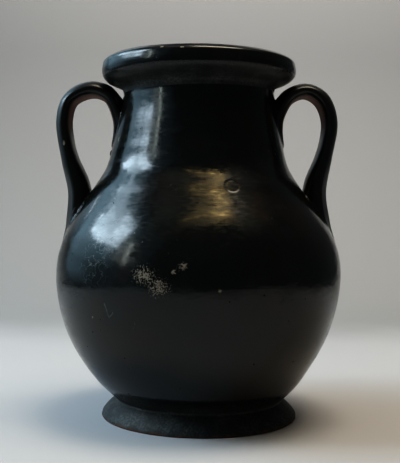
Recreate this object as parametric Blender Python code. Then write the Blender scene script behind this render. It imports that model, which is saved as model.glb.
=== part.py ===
"""A pelike: a wheel-thrown jar with a foot ring, a full low belly, a wide neck, a rolled lip and two strap handles.

It is one fired piece of clay, hollow and open at the mouth. Lengths are in metres and +Z is up. The table is at
z = 0, the handles are on the -X and +X sides, and the front faces -Y. An outline is a list of radius and height.
"""

import math

import bmesh
import bpy
import numpy as np

# Foot: a ring that flares from the waist down to the table, hollowed underneath.
FOOT_RADIUS = 0.0452
FOOT_HEIGHT = 0.0082
FOOT_FLARE = 1.4
FOOT_SIDE_HEIGHT = 0.0009
FOOT_EDGE = 0.0005
WAIST_RADIUS = 0.0383
RESTING_WIDTH = 0.0085
RECESS_DEPTH = 0.0035
RECESS_TAPER = 0.0020

# Body: the radius of each station of its outline, and its rise above the station before it.
UNDERBELLY_RADIUS = 0.0476
UNDERBELLY_RISE = 0.0094
LOW_BELLY_RADIUS = 0.0603
LOW_BELLY_RISE = 0.0224
BELLY_RADIUS = 0.0654
BELLY_RISE = 0.0250
HIGH_BELLY_RADIUS = 0.0626
HIGH_BELLY_RISE = 0.0165
SHOULDER_RADIUS = 0.0488
SHOULDER_RISE = 0.0225
NECK_BASE_RADIUS = 0.0421
NECK_BASE_RISE = 0.0107
LOW_NECK_RADIUS = 0.0399
LOW_NECK_RISE = 0.0093
NECK_RADIUS = 0.0348
NECK_RISE = 0.0250

# Lip: radii, with drops below its crown.
LIP_HEIGHT = 0.0163
LIP_CORNER_RADIUS = 0.0358
LIP_CORNER_DROP = 0.0137
LIP_UNDERSIDE_RADIUS = 0.0424
LIP_UNDERSIDE_DROP = 0.0102
LIP_RADIUS = 0.0451
LIP_WIDEST_DROP = 0.0050
LIP_SHOULDER_RADIUS = 0.0443
LIP_SHOULDER_DROP = 0.0019
LIP_CROWN_RADIUS = 0.0412
INNER_LIP_RADIUS = 0.0374
INNER_LIP_DROP = 0.0019
THROAT_RADIUS = 0.0330
THROAT_DROP = 0.0072

# Walls.
NECK_WALL = 0.0044
BELLY_WALL = 0.0050
FLOOR_THICKNESS = 0.0075
FLOOR_CORNER = 0.0030

# How the thrown jar departs from a true turned shape.
LEAN_ANGLE = math.radians(0.8)
LEAN_LENGTH = 0.0180
BELLY_BOW = 0.0006
SHOULDER_BOW = 0.0013
LIP_UNEVENNESS = 0.0005
FOOT_CENTRE_X = 0.0028

# Handles: a strap from the neck, up and over and down to the shoulder. A stand-off is how far the strap's centre
# line is from the outer surface: that of the neck at the upper root, or of the body at the same height.
STRAP_WIDTH = 0.0180
STRAP_THICKNESS = 0.0072
STRAP_SQUARENESS = 3.0
NECK_ROOT_DROP = 0.0105
NECK_ROOT_LENGTH = 0.0140
ARCH_RISE = 0.0126
ARCH_STAND_OFF = 0.0134
SPRING_STAND_OFF = 0.0050
SPRING_DROP = 0.0031
BEND_STAND_OFF = 0.0222
BEND_DROP = 0.0043
OUTER_STAND_OFF = 0.0256
OUTER_DROP = 0.0143
ANKLE_STAND_OFF = 0.0078
ANKLE_DROP = 0.0005
LEG_OVERHANG = 0.0027
LEG_RISE = 0.0155
HEEL_STAND_OFF = 0.0000
HEEL_DROP = 0.0140
SHOULDER_ROOT_DROP = 0.0260
ARCH_UNEVENNESS = 0.0007
BEND_UNEVENNESS = 0.0012
OUTER_UNEVENNESS = 0.0007
LEG_UNEVENNESS = 0.0004
ROOT_TAPER = 0.45
ROOT_TAPER_LENGTH = 0.0150
# How deep the centre line runs below the surface at each root, as a share of half the strap's thickness.
NECK_ROOT_END_SINK = 0.9
NECK_ROOT_MIDDLE_SINK = 0.65
SHOULDER_ROOT_SINK = 1.1
CROTCH_SWELL = 0.0022
CROTCH_LENGTH = 0.0090

# How finely the surfaces are divided.
SEGMENTS = 56
BODY_RINGS = 25
INNER_RINGS = 19
LIP_RINGS = 12
INNER_LIP_RINGS = 6
FOOT_RINGS = 6
STRAP_SEGMENTS = 14
STRAP_RINGS = 26
FINE = 160

UNDERBELLY_HEIGHT = FOOT_HEIGHT + UNDERBELLY_RISE
LOW_BELLY_HEIGHT = UNDERBELLY_HEIGHT + LOW_BELLY_RISE
BELLY_HEIGHT = LOW_BELLY_HEIGHT + BELLY_RISE
HIGH_BELLY_HEIGHT = BELLY_HEIGHT + HIGH_BELLY_RISE
SHOULDER_HEIGHT = HIGH_BELLY_HEIGHT + SHOULDER_RISE
NECK_BASE_HEIGHT = SHOULDER_HEIGHT + NECK_BASE_RISE
LOW_NECK_HEIGHT = NECK_BASE_HEIGHT + LOW_NECK_RISE
NECK_HEIGHT = LOW_NECK_HEIGHT + NECK_RISE
CROWN_HEIGHT = NECK_HEIGHT + LIP_HEIGHT
FLOOR_HEIGHT = RECESS_DEPTH + FLOOR_THICKNESS


def between(start, end, t, at_start, at_end):
    """The value at t on the straight line from start, at at_start, to end, at at_end."""
    return start * (at_end - t) / (at_end - at_start) + end * (t - at_start) / (at_end - at_start)


def smooth_line(stations, count):
    """Evenly spaced points on a centripetal Catmull-Rom curve through the stations."""
    stations = np.asarray(stations, float)
    ends = (2 * stations[0] - stations[1], 2 * stations[-1] - stations[-2])
    padded = np.vstack([ends[0], stations, ends[1]])
    steps = np.sqrt(np.linalg.norm(np.diff(padded, axis=0), axis=1))
    knots = np.concatenate([[0.0], np.cumsum(steps)])
    curve = []
    for i in range(1, len(padded) - 2):
        p, k = padded[i - 1 : i + 3], knots[i - 1 : i + 3]
        for t in np.linspace(k[1], k[2], FINE // 4, endpoint=False):
            a = [between(p[j], p[j + 1], t, k[j], k[j + 1]) for j in range(3)]
            b = [between(a[j], a[j + 1], t, k[j], k[j + 2]) for j in range(2)]
            curve.append(between(b[0], b[1], t, k[1], k[2]))
    curve = np.array(curve + [stations[-1]])
    along = lengths_along(curve)
    wanted = np.linspace(0.0, along[-1], count)
    return np.column_stack([np.interp(wanted, along, curve[:, axis]) for axis in range(2)])


def lengths_along(line):
    """Distance of each point of a line from its first point, measured along it."""
    return np.concatenate([[0.0], np.cumsum(np.linalg.norm(np.diff(line, axis=0), axis=1))])


def directions(line):
    """Unit direction of a line at each of its points."""
    slope = np.gradient(line, axis=0)
    return slope / np.linalg.norm(slope, axis=1)[:, None]


def underside_outline():
    """The recess under the foot, from its middle out to the inner edge of the resting face."""
    resting_inner = FOOT_RADIUS - FOOT_EDGE - RESTING_WIDTH
    return [(0.0, RECESS_DEPTH), (resting_inner - RECESS_TAPER, RECESS_DEPTH), (resting_inner, 0.0)]


def foot_outline():
    """Up the outside of the foot, from the outer edge of its resting face to the waist."""
    points = [(FOOT_RADIUS - FOOT_EDGE, 0.0), (FOOT_RADIUS, FOOT_EDGE)]
    for t in np.linspace(0.0, 1.0, FOOT_RINGS):
        radius = WAIST_RADIUS + (FOOT_RADIUS - WAIST_RADIUS) * (1.0 - t**FOOT_FLARE)
        points.append((radius, FOOT_SIDE_HEIGHT + t * (FOOT_HEIGHT - FOOT_SIDE_HEIGHT)))
    return points


def body_outline(count):
    """Up the outside from the waist, over belly and shoulder, to the top of the neck."""
    stations = [
        (WAIST_RADIUS, FOOT_HEIGHT),
        (UNDERBELLY_RADIUS, UNDERBELLY_HEIGHT),
        (LOW_BELLY_RADIUS, LOW_BELLY_HEIGHT),
        (BELLY_RADIUS, BELLY_HEIGHT),
        (HIGH_BELLY_RADIUS, HIGH_BELLY_HEIGHT),
        (SHOULDER_RADIUS, SHOULDER_HEIGHT),
        (NECK_BASE_RADIUS, NECK_BASE_HEIGHT),
        (LOW_NECK_RADIUS, LOW_NECK_HEIGHT),
        (NECK_RADIUS, NECK_HEIGHT),
    ]
    return smooth_line(stations, count)


def lip_outline():
    """Out under the lip, round its widest line and up to its crown."""
    stations = [
        (NECK_RADIUS, NECK_HEIGHT),
        (LIP_CORNER_RADIUS, CROWN_HEIGHT - LIP_CORNER_DROP),
        (LIP_UNDERSIDE_RADIUS, CROWN_HEIGHT - LIP_UNDERSIDE_DROP),
        (LIP_RADIUS, CROWN_HEIGHT - LIP_WIDEST_DROP),
        (LIP_SHOULDER_RADIUS, CROWN_HEIGHT - LIP_SHOULDER_DROP),
        (LIP_CROWN_RADIUS, CROWN_HEIGHT),
    ]
    return smooth_line(stations, LIP_RINGS)


def inner_lip_outline():
    """From the crown down the inner slope of the lip into the neck."""
    stations = [
        (LIP_CROWN_RADIUS, CROWN_HEIGHT),
        (INNER_LIP_RADIUS, CROWN_HEIGHT - INNER_LIP_DROP),
        (THROAT_RADIUS, CROWN_HEIGHT - THROAT_DROP),
        (NECK_RADIUS - NECK_WALL, NECK_HEIGHT),
    ]
    return smooth_line(stations, INNER_LIP_RINGS)


def inside_wall(depth):
    """From the middle of the floor out and up to the neck, at a depth in the wall: 0 is its outside, 1 its inside."""
    outline = body_outline(INNER_RINGS)
    slope = directions(outline)
    wall = np.interp(outline[:, 1], [SHOULDER_HEIGHT, NECK_BASE_HEIGHT], [BELLY_WALL, NECK_WALL])
    moved = outline + np.column_stack([-slope[:, 1], slope[:, 0]]) * (wall * depth)[:, None]
    floor = FLOOR_HEIGHT - (1.0 - depth) * 0.5 * FLOOR_THICKNESS
    side = moved[(moved[:, 1] > floor + FLOOR_CORNER) & (moved[:, 1] < NECK_HEIGHT - 0.5 * NECK_WALL)]
    corner = (side[0][0] - FLOOR_CORNER, floor)
    return np.vstack([[(0.0, floor), corner], side])


def jar_outline():
    """The whole wall in section, from the middle of the underside round to the middle of the floor."""
    outside = [underside_outline(), foot_outline(), body_outline(BODY_RINGS)[1:], lip_outline()[1:]]
    inside = [inner_lip_outline()[1:], inside_wall(1.0)[::-1]]
    return np.vstack(outside + inside)


def core_outline():
    """A plug that fills the jar up to the middle of its wall and stands out of its mouth."""
    top = CROWN_HEIGHT + LIP_HEIGHT
    return np.vstack([inside_wall(0.5), [(NECK_RADIUS - 0.5 * NECK_WALL, top), (0.0, top)]])


def radius_at(height):
    """Outer radius of the body at a height."""
    outline = body_outline(FINE)
    return float(np.interp(height, outline[:, 1], outline[:, 0]))


def bow_outline():
    """Sideways shift of the body's axis at each height, from the waist to the top of the neck."""
    stations = [(0.0, FOOT_HEIGHT), (BELLY_BOW, LOW_BELLY_HEIGHT), (SHOULDER_BOW, SHOULDER_HEIGHT), (0.0, NECK_HEIGHT)]
    return smooth_line(stations, FINE)


def settle(mesh):
    """Leans and bows the upright, even shape on its level foot, and makes its lip thicker on the -X side."""
    bow = bow_outline()
    for vertex in mesh.verts:
        x, above = vertex.co.x, vertex.co.z - FOOT_HEIGHT
        if above > 0.0:
            blend = min(above / LEAN_LENGTH, 1.0)
            angle = LEAN_ANGLE * blend * blend * (3.0 - 2.0 * blend)
            in_lip = max(-1.0, (vertex.co.z - NECK_HEIGHT) / LIP_HEIGHT)
            thinner = 1.0 - 2.0 * in_lip if in_lip > 0.0 else 1.0 + in_lip
            shift = float(np.interp(vertex.co.z, bow[:, 1], bow[:, 0]))
            above += thinner * LIP_UNEVENNESS * x / LIP_RADIUS
            vertex.co.x = x * math.cos(angle) - above * math.sin(angle) - shift
            vertex.co.z = FOOT_HEIGHT + x * math.sin(angle) + above * math.cos(angle)
        vertex.co.x += FOOT_CENTRE_X


def finished(name, mesh):
    """Settles a closed shape, makes an object of it and shades it smooth."""
    settle(mesh)
    bmesh.ops.recalc_face_normals(mesh, faces=mesh.faces)
    for face in mesh.faces:
        face.smooth = True
    data = bpy.data.meshes.new(name)
    mesh.to_mesh(data)
    mesh.free()
    made = bpy.data.objects.new(name, data)
    bpy.context.scene.collection.objects.link(made)
    return made


def turned(name, outline):
    """A solid of revolution of an outline that starts and ends on the axis."""
    mesh = bmesh.new()
    verts = [mesh.verts.new((radius, 0.0, height)) for radius, height in outline]
    edges = [mesh.edges.new(pair) for pair in zip(verts, verts[1:])]
    around = {"cent": (0.0, 0.0, 0.0), "axis": (0.0, 0.0, 1.0), "angle": 2.0 * math.pi, "steps": SEGMENTS}
    bmesh.ops.spin(mesh, geom=verts + edges, use_merge=True, **around)
    bmesh.ops.remove_doubles(mesh, verts=mesh.verts, dist=1e-6)
    return finished(name, mesh)


def handle_path(side):
    """Centre line of the strap, from inside the neck's wall to inside the shoulder's, as reach and height."""
    half = 0.5 * STRAP_THICKNESS
    root = NECK_HEIGHT - NECK_ROOT_DROP
    neck = radius_at(root)
    arch = root + ARCH_RISE - side * ARCH_UNEVENNESS
    root_end = root - NECK_ROOT_LENGTH
    root_middle = 0.5 * (root + root_end)
    ankle = SHOULDER_HEIGHT - ANKLE_DROP
    ankle_reach = radius_at(ankle) + ANKLE_STAND_OFF
    heel = SHOULDER_HEIGHT - HEEL_DROP
    shoulder_root = SHOULDER_HEIGHT - SHOULDER_ROOT_DROP
    stations = [
        (radius_at(root_end) - NECK_ROOT_END_SINK * half, root_end),
        (radius_at(root_middle) - NECK_ROOT_MIDDLE_SINK * half, root_middle),
        (neck, root),
        (neck + SPRING_STAND_OFF, arch - SPRING_DROP),
        (neck + ARCH_STAND_OFF, arch),
        (neck + BEND_STAND_OFF - side * BEND_UNEVENNESS, arch - BEND_DROP),
        (neck + OUTER_STAND_OFF - side * OUTER_UNEVENNESS, arch - OUTER_DROP),
        (ankle_reach + LEG_OVERHANG - side * LEG_UNEVENNESS, ankle + LEG_RISE),
        (ankle_reach, ankle),
        (radius_at(heel) + HEEL_STAND_OFF, heel),
        (radius_at(shoulder_root) - SHOULDER_ROOT_SINK * half, shoulder_root),
    ]
    return smooth_line(stations, STRAP_RINGS)


def strap_section(width, thickness, swell):
    """Points round the strap's flattened oval, as inwards and across, with its inner half thickened by swell."""
    points = []
    for step in range(STRAP_SEGMENTS):
        angle = 2.0 * math.pi * (step + 0.5) / STRAP_SEGMENTS
        inwards, across = math.cos(angle), math.sin(angle)
        power = abs(inwards) ** STRAP_SQUARENESS + abs(across) ** STRAP_SQUARENESS
        size = power ** (-1.0 / STRAP_SQUARENESS)
        depth = 0.5 * thickness + (swell if inwards > 0.0 else 0.0)
        points.append((depth * size * inwards, 0.5 * width * size * across))
    return points


def handle(name, side):
    """A closed strap on the +X side for side 1, and on the -X side for side -1."""
    path = handle_path(side)
    along = lengths_along(path)
    from_end = np.minimum(along, along[-1] - along)
    crotch = SHOULDER_HEIGHT - ANKLE_DROP
    mesh = bmesh.new()
    rings = []
    for (reach, height), (out, up), distance in zip(path, directions(path), from_end):
        taper = 1.0 - ROOT_TAPER * max(0.0, 1.0 - distance / ROOT_TAPER_LENGTH) ** 2
        swell = float(np.interp(height, [crotch, crotch + CROTCH_LENGTH], [CROTCH_SWELL, 0.0]))
        section = strap_section(STRAP_WIDTH * taper, STRAP_THICKNESS, swell)
        spots = [(side * (reach + up * inwards), across, height - out * inwards) for inwards, across in section]
        verts = [mesh.verts.new(spot) for spot in spots]
        rings.append([mesh.edges.new(pair) for pair in zip(verts, verts[1:] + verts[:1])])
    for low, high in zip(rings, rings[1:]):
        bmesh.ops.bridge_loops(mesh, edges=low + high)
    bmesh.ops.holes_fill(mesh, edges=rings[0] + rings[-1])
    return finished(name, mesh)


def boolean(target, other, operation):
    """Joins another object to the target, or takes it away, and keeps the other out of the render."""
    modifier = target.modifiers.new(other.name, "BOOLEAN")
    modifier.operation = operation
    modifier.object = other
    modifier.solver = "EXACT"
    other.hide_render = True
    other.display_type = "WIRE"


def black_gloss():
    """Fired black slip with a satin sheen."""
    material = bpy.data.materials.new("black_gloss")
    material.use_nodes = True
    shader = material.node_tree.nodes["Principled BSDF"]
    shader.inputs["Base Color"].default_value = (0.018, 0.019, 0.019, 1.0)
    shader.inputs["Roughness"].default_value = 0.24
    shader.inputs["IOR"].default_value = 1.62
    return material


def pelike():
    """The jar with both handles luted on. Their buried ends stop in the middle of its wall."""
    jar = turned("pelike", jar_outline())
    core = turned("core", core_outline())
    for name, side in (("left_handle", -1), ("right_handle", 1)):
        strap = handle(name, side)
        boolean(strap, core, "DIFFERENCE")
        boolean(jar, strap, "UNION")
    jar.data.materials.append(black_gloss())


for old in list(bpy.context.scene.objects):
    bpy.data.objects.remove(old, do_unlink=True)
pelike()
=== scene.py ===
"""The looks of the pelike: a fine mesh of the fired jar, its worn black gloss, and a plain studio round it.

Lengths are in metres and +Z is up. The table is at z = 0, the handles are on the -X and +X sides, and the
front faces -Y. The left is the -X side. The jar's sizes are those of its solid, apart from small changes to
the lip, the neck, the belly and the straps' edges, and more clay in the forks under the handles.
"""

import math

import bmesh
import bpy
import numpy as np
from mathutils import Matrix, Vector, noise
from mathutils.bvhtree import BVHTree
from mathutils.kdtree import KDTree

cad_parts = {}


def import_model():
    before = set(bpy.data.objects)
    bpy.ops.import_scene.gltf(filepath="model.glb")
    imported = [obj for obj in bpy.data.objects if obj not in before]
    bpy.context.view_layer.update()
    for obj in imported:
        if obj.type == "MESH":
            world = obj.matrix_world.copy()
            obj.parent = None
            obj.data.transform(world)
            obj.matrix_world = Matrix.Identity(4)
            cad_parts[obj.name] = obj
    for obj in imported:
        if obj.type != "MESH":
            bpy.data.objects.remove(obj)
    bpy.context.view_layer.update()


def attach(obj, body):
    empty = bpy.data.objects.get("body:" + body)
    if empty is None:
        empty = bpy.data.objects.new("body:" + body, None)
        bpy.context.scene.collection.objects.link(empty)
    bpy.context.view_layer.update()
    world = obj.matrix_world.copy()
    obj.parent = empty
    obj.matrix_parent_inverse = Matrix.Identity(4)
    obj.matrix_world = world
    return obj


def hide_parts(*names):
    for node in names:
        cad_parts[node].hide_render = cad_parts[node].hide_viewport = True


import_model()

# Foot.
FOOT_RADIUS = 0.0452
FOOT_HEIGHT = 0.0082
FOOT_FLARE = 1.4
FOOT_SIDE_HEIGHT = 0.0009
FOOT_EDGE = 0.0005
WAIST_RADIUS = 0.0383
RESTING_WIDTH = 0.0085
RECESS_DEPTH = 0.0035
RECESS_TAPER = 0.0020

# Body: the radius of each station of its outline, and its rise above the station before it.
UNDERBELLY_RADIUS = 0.0476
UNDERBELLY_RISE = 0.0094
LOW_BELLY_RADIUS = 0.0608
LOW_BELLY_RISE = 0.0224
BELLY_RADIUS = 0.0658
BELLY_RISE = 0.0250
HIGH_BELLY_RADIUS = 0.0627
HIGH_BELLY_RISE = 0.0165
SHOULDER_RADIUS = 0.0488
SHOULDER_RISE = 0.0225
NECK_BASE_RADIUS = 0.0423
NECK_BASE_RISE = 0.0107
LOW_NECK_RADIUS = 0.0397
LOW_NECK_RISE = 0.0093
MIDDLE_NECK_RADIUS = 0.0377
MIDDLE_NECK_RISE = 0.0090
HIGH_NECK_RADIUS = 0.0359
HIGH_NECK_RISE = 0.0179
NECK_RADIUS = 0.0350
NECK_RISE = 0.0250

# Lip: radii, with drops below its crown.
LIP_HEIGHT = 0.0163
LIP_CORNER_RADIUS = 0.0358
LIP_CORNER_DROP = 0.0137
LIP_UNDERSIDE_RADIUS = 0.0422
LIP_UNDERSIDE_DROP = 0.0106
LIP_ROLL_RADIUS = 0.0446
LIP_ROLL_DROP = 0.0083
LIP_RADIUS = 0.0451
LIP_WIDEST_DROP = 0.0061
LIP_FACE_RADIUS = 0.0449
LIP_FACE_DROP = 0.0040
LIP_SHOULDER_RADIUS = 0.0443
LIP_SHOULDER_DROP = 0.0019
LIP_CROWN_RADIUS = 0.0412
INNER_LIP_RADIUS = 0.0374
INNER_LIP_DROP = 0.0019
THROAT_RADIUS = 0.0330
THROAT_DROP = 0.0072

# Walls.
NECK_WALL = 0.0044
BELLY_WALL = 0.0050
FLOOR_THICKNESS = 0.0075
FLOOR_CORNER = 0.0030

# Heights that follow from the sizes.
UNDERBELLY_HEIGHT = FOOT_HEIGHT + UNDERBELLY_RISE
LOW_BELLY_HEIGHT = UNDERBELLY_HEIGHT + LOW_BELLY_RISE
BELLY_HEIGHT = LOW_BELLY_HEIGHT + BELLY_RISE
HIGH_BELLY_HEIGHT = BELLY_HEIGHT + HIGH_BELLY_RISE
SHOULDER_HEIGHT = HIGH_BELLY_HEIGHT + SHOULDER_RISE
NECK_BASE_HEIGHT = SHOULDER_HEIGHT + NECK_BASE_RISE
LOW_NECK_HEIGHT = NECK_BASE_HEIGHT + LOW_NECK_RISE
NECK_HEIGHT = LOW_NECK_HEIGHT + NECK_RISE
CROWN_HEIGHT = NECK_HEIGHT + LIP_HEIGHT
FLOOR_HEIGHT = RECESS_DEPTH + FLOOR_THICKNESS

# How the thrown jar departs from a true turned shape.
LEAN_ANGLE = math.radians(0.8)
LEAN_LENGTH = 0.0180
LOW_BELLY_BOW = 0.0004
HIGH_BELLY_BOW = 0.0002
SHOULDER_BOW = 0.0009
LIP_UNEVENNESS = 0.0005
FOOT_CENTRE_X = 0.0028
SWAY = 0.00012
SWAY_LENGTH = 0.040
RIDGE_HEIGHT = 0.00002
RIDGE_PITCH = 0.0040
FOOT_WEAR = 0.00035
FOOT_WEAR_LENGTH = 0.0035
FOOT_WEAR_LEVEL = 0.4

# Handles.
STRAP_WIDTH = 0.0180
STRAP_THICKNESS = 0.0072
OUTER_SQUARENESS = 1.7
LEG_SQUARENESS = 1.05
LEG_EDGE_LENGTH = 0.0200
INNER_SQUARENESS = 3.0
NECK_ROOT_DROP = 0.0105
NECK_ROOT_LENGTH = 0.0140
ARCH_RISE = 0.0126
ARCH_STAND_OFF = 0.0134
SPRING_STAND_OFF = 0.0050
SPRING_DROP = 0.0031
BEND_STAND_OFF = 0.0222
BEND_DROP = 0.0043
OUTER_STAND_OFF = 0.0256
OUTER_DROP = 0.0143
ANKLE_STAND_OFF = 0.0078
ANKLE_DROP = 0.0005
LEG_OVERHANG = 0.0027
LEG_RISE = 0.0155
HEEL_DROP = 0.0140
SHOULDER_ROOT_DROP = 0.0260
ARCH_UNEVENNESS = 0.0007
BEND_UNEVENNESS = 0.0012
OUTER_UNEVENNESS = 0.0007
LEG_UNEVENNESS = 0.0004
ROOT_TAPER = 0.45
ROOT_TAPER_LENGTH = 0.0150
NECK_ROOT_END_SINK = 0.9
NECK_ROOT_MIDDLE_SINK = 0.65
SHOULDER_ROOT_SINK = 1.1
CROTCH_SWELL = 0.0036
CROTCH_LENGTH = 0.0220
FILLET = 0.0026
FILLET_SWELL = 0.25

# Marks of the mesh's points for the material.
MARKS = ("strap", "inner_face", "dull", "bare")

# Where the gloss is dull, bare or reddened.
DULL_ABOVE_FOOT = 0.0060
UNDER_LIP_DULLNESS = 1.6
RIM_WEAR = 0.75
BARE_EDGE = 0.0042
INNER_FACE_START = 0.70
INNER_FACE_END = 1.0
REDDENED_FROM = 0.126
REDDENED_LENGTH = 0.014

# How finely the surfaces are divided.
SEGMENTS = 288
FOOT_RINGS = 14
BODY_RINGS = 132
LIP_RINGS = 46
INNER_LIP_RINGS = 14
INNER_RINGS = 30
STRAP_SEGMENTS = 52
STRAP_RINGS = 150
STATION_STEPS = 40
OUTLINE_POINTS = 160
MERGE_DISTANCE = 1e-6

# The photograph's view: size, focal length and centre in pixels, roll in radians and sensor width in mm.
PHOTO_WIDTH = 400
PHOTO_HEIGHT = 463
CAMERA_PLACE = Vector((0.0014, -0.4019, 0.0956))
CAMERA_FOCAL_PIXELS = 858.1
CAMERA_ROLL = 0.0143
CAMERA_CENTRE_X = 198.6
CAMERA_CENTRE_Y = 209.0
CAMERA_NEAREST = 0.01
SENSOR = 36.0

# Colours of the jar.
GLOSS = (0.0085, 0.0098, 0.0098)
GLOSS_GREEN = (0.0105, 0.0140, 0.0120)
GLOSS_BROWN = (0.0170, 0.0120, 0.0085)
MISFIRED = (0.290, 0.180, 0.145)
CLAY = (0.130, 0.060, 0.036)
DUST = (0.080, 0.084, 0.080)
SALT = (0.26, 0.22, 0.17)
# Pale colour of the scratches, also used for painted highlight lines along creases.
SCRATCH_AND_HIGHLIGHT_PALE = (0.13, 0.14, 0.145)
PIT = (0.004, 0.003, 0.003)

# Marks of wear and painted highlights: middles and half sizes of areas, and the ends of scratches and of
# painted highlight lines.
SALT_PATCHES = (
    ((-0.0200, -0.0620, 0.0690), (0.0085, 0.0100, 0.0068)),
    ((-0.0140, -0.0636, 0.0645), (0.0075, 0.0100, 0.0068)),
    ((-0.0044, -0.0647, 0.0729), (0.0036, 0.0050, 0.0030)),
    ((-0.0081, -0.0645, 0.0709), (0.0022, 0.0050, 0.0018)),
    ((0.0105, -0.0647, 0.0637), (0.0020, 0.0050, 0.0020)),
)
SALT_SPOTS = (
    ((-0.0417, -0.0465, 0.0503), (0.0007, 0.0007, 0.0009)),
    ((-0.0607, -0.0089, 0.1250), (0.0010, 0.0012, 0.0022)),
    ((-0.0149, -0.0409, 0.1635), (0.0016, 0.0010, 0.0008)),
    ((-0.0065, -0.0437, 0.1631), (0.0016, 0.0010, 0.0007)),
    ((-0.0353, -0.0160, 0.1270), (0.0012, 0.0012, 0.0030)),
)
LIP_WEAR = (
    ((-0.0368, -0.0087, 0.1524), (0.0040, 0.0100, 0.0025)),
    ((0.0378, -0.0099, 0.1537), (0.0040, 0.0100, 0.0025)),
)
SCRATCH_FIELD = ((-0.0415, -0.0480, 0.0740), (0.0130, 0.0130, 0.0150))
SCRATCHES_AND_HIGHLIGHT_LINES = (
    ((-0.0364, -0.0526, 0.0566), (-0.0342, -0.0527, 0.0509)),
    ((-0.0342, -0.0527, 0.0509), (-0.0325, -0.0544, 0.0532)),
    ((-0.0232, -0.0583, 0.0498), (-0.0241, -0.0570, 0.0464)),
    # These three strokes are a painted highlight: a pale line along the crease where the left handle's root
    # meets the shoulder.
    ((-0.0574, -0.0090, 0.0920), (-0.0552, -0.0088, 0.0953)),
    ((-0.0552, -0.0088, 0.0953), (-0.0531, -0.0077, 0.0990)),
    ((-0.0531, -0.0077, 0.0990), (-0.0512, -0.0013, 0.1023)),
    ((-0.0347, -0.0087, 0.0080), (-0.0299, -0.0219, 0.0092)),
    ((-0.0299, -0.0219, 0.0092), (-0.0261, -0.0251, 0.0083)),
    ((-0.0261, -0.0251, 0.0083), (-0.0223, -0.0292, 0.0080)),
    ((0.0190, -0.0628, 0.0652), (0.0206, -0.0623, 0.0656)),
    ((0.0206, -0.0623, 0.0656), (0.0218, -0.0619, 0.0648)),
    ((0.0030, -0.0650, 0.0650), (0.0036, -0.0650, 0.0630)),
)
STROKE_WIDTH = 0.0007
STROKE_WANDER = 0.0006
STROKE_WANDER_LENGTH = 0.0020
PITS = (
    (-0.0405, -0.0422, 0.0885),
    (-0.0411, -0.0436, 0.0860),
    (-0.0340, -0.0510, 0.0834),
    (-0.0248, -0.0550, 0.0857),
    (-0.0213, -0.0582, 0.0823),
    (0.0462, -0.0445, 0.0790),
)
PIT_RADIUS = 0.0007
SPALL_MIDDLE = (0.0151, -0.0455, 0.1052)
SPALL_RADIUS = 0.0042

# Sizes of the material's grains and pits, and how much longer some grains are than high.
BROAD_GRAIN = 0.0120
BROWN_GRAIN = 0.0180
FINE_GRAIN = 0.0010
WHEEL_GRAIN = 0.0011
WHEEL_FLATNESS = 18.0
SHEEN_GRAIN = 0.0010
SHEEN_FLATNESS = 3.0
SMUDGE_GRAIN = 0.0046
SMUDGE_FLATNESS = 2.4
DENT_GRAIN = 0.0032
DENT_FLATNESS = 2.0
WEB_GRAIN = 0.0034
FLECK_GRAIN = 0.0007
DUST_GRAIN = 0.0070
CLAY_GRAIN = 0.0040
PIT_SPACING = 0.0035
SMALL_PIT_RADIUS = 0.00045
SMALL_PIT_SHARE = 0.10

# Where each covering begins and where it is full, on the scale of the grain or area that it follows.
GREEN_EDGE = (0.45, 0.75)
BROWN_EDGE = (0.50, 0.80)
WEB_EDGE = (0.004, 0.018)
STROKE_EDGE = (0.25, 0.60)
FLECK_EDGE = (0.66, 0.84)
FLECK_LIFT = 0.30
PATCH_EDGE = (0.0, 0.25)
SPOT_EDGE = (0.85, 1.05)
LIP_WEAR_EDGE = (0.95, 1.35)
PIT_EDGE = (0.10, 0.60)
SPALL_EDGE = (0.0, 0.30)
CLAY_EDGE = (1.15, 1.50)
MISFIRED_EDGE = (0.25, 0.60)
DUST_EDGE = (0.36, 0.70)
DUST_PATCH_EDGE = (0.35, 0.68)
SHEEN_EDGE = (0.36, 0.66)
SMUDGE_EDGE = (0.48, 0.74)

# How thinly and how thickly each lies, where that isn't 0 and 1.
STROKE_COVER = 0.5
MISFIRED_COVER = (0.8, 1.0)
DUST_COVER = (0.10, 0.50)
DUST_PATCH_COVER = (0.45, 1.70)
SMUDGE_COVER = (0.0, 0.6)

# Roughness of each surface.
CLEAN_ROUGHNESS = (0.10, 0.21)
SMUDGED_ROUGHNESS = 0.34
STRAP_ROUGHNESS = 0.33
DULL_ROUGHNESS = 0.66
WORN_ROUGHNESS = 0.85
MISFIRED_ROUGHNESS = 0.95
GLOSS_IOR = 1.5

# Relief: the bump's height in metres, and shares of it.
BUMP_HEIGHT = 0.00003
FINE_RELIEF = 0.08
DENT_RELIEF = 0.9
WHEEL_RELIEF = 0.45
PIT_RELIEF = -1.5
SALT_RELIEF = 0.4
SPALL_RELIEF = -2.2

# The sheet of paper: its edges, its curve up behind, and where its far end grows darker with painted shade.
FLOOR_FRONT = -0.38
FLOOR_LEFT = -0.42
FLOOR_RIGHT = 0.45
SWEEP_START = 0.42
SWEEP_RADIUS = 0.30
SWEEP_TOP = 0.95
BACKDROP_LEFT = -0.85
BACKDROP_RIGHT = 0.48
SWEEP_STEPS = 24
PAPER = (0.560, 0.540, 0.550)
PAPER_PAINTED_SHADE = (0.395, 0.380, 0.380)
PAPER_ROUGHNESS = 0.9
PAPER_GRAIN = 0.10
PAPER_WAVER = 0.10
PAPER_SHADE_FADE = (0.22, 0.42)

# Colours of the room's lights and walls.
COOL = (0.74, 0.89, 1.0)
BLUE = (0.50, 0.80, 1.0)
PALE = (0.90, 1.0, 0.95)
WARM = (1.0, 0.74, 0.33)
CEILING = (1.0, 0.91, 0.74)
BACKDROP_LIGHT = (1.0, 0.99, 0.93)
DARK_ROOM = (0.050, 0.055, 0.058, 1.0)
PALE_ROOM = (0.40, 0.40, 0.39, 1.0)

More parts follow.
